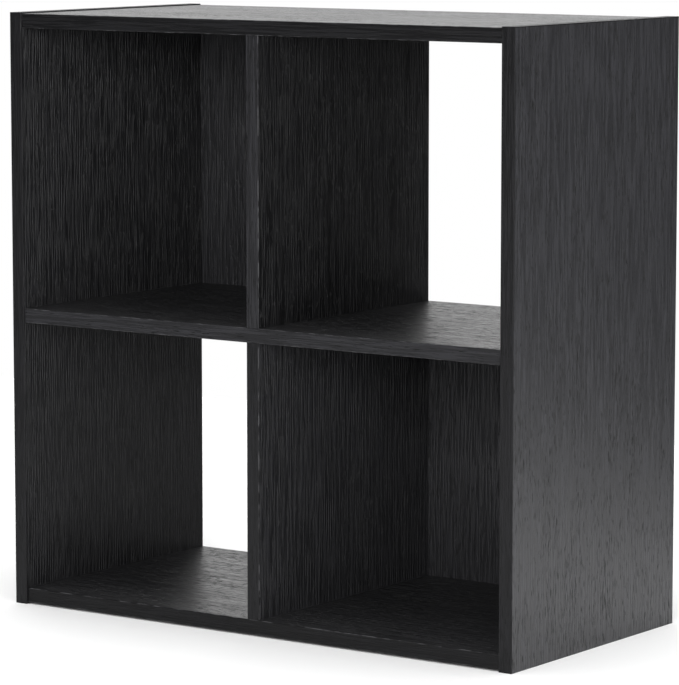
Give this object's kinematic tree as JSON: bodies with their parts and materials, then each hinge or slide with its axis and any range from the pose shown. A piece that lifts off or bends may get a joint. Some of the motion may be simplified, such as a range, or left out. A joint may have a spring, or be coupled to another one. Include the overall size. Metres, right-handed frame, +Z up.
{
  "type": "cube storage unit",
  "caption": "Low square storage unit in black wood-grain laminate, with open cube compartments, some with a thin back panel.",
  "frame": {"origin": "on the floor, at the middle of the unit's footprint with its back panels and screw heads", "axes": "+Z up, +X to the right as seen from the front, +Y to the back; the open front faces -Y"},
  "size_m": [0.62, 0.3098, 0.62],
  "materials": {
    "laminate_board": "semi-gloss black laminate embossed with wood grain, over particle board",
    "edge_band": "satin black plastic edge band",
    "back_board": "black foil-faced hardboard",
    "back_screw": "black steel",
    "cam_zinc": "dull die-cast zinc",
    "bolt_steel": "zinc-plated steel",
    "dowel_wood": "plain beech"
  },
  "bodies": {
    "root": {"left_side_panel": "laminate_board", "right_side_panel": "laminate_board", "top_panel": "laminate_board", "middle_shelf": "laminate_board", "bottom_panel": "laminate_board", "upper_divider": "laminate_board", "lower_divider": "laminate_board", "left_side_front_band": "edge_band", "left_side_back_band": "edge_band", "left_side_top_band": "edge_band", "right_side_front_band": "edge_band", "right_side_back_band": "edge_band", "right_side_top_band": "edge_band", "top_panel_front_band": "edge_band", "top_panel_back_band": "edge_band", "middle_shelf_front_band": "edge_band", "middle_shelf_back_band": "edge_band", "bottom_panel_front_band": "edge_band", "bottom_panel_back_band": "edge_band", "upper_divider_front_band": "edge_band", "upper_divider_back_band": "edge_band", "lower_divider_front_band": "edge_band", "lower_divider_back_band": "edge_band", "upper_left_back_panel": "back_board", "lower_right_back_panel": "back_board", "upper_left_back_screws": "back_screw", "lower_right_back_screws": "back_screw", "top_panel_cam_locks": "cam_zinc", "middle_shelf_cam_locks": "cam_zinc", "bottom_panel_cam_locks": "cam_zinc", "upper_divider_cam_locks": "cam_zinc", "lower_divider_cam_locks": "cam_zinc", "left_side_cam_bolts": "bolt_steel", "right_side_cam_bolts": "bolt_steel", "upper_divider_cam_bolts": "bolt_steel", "lower_divider_cam_bolts": "bolt_steel", "left_side_dowels": "dowel_wood", "right_side_dowels": "dowel_wood", "upper_divider_dowels": "dowel_wood", "lower_divider_dowels": "dowel_wood"}
  },
  "joints": []
}
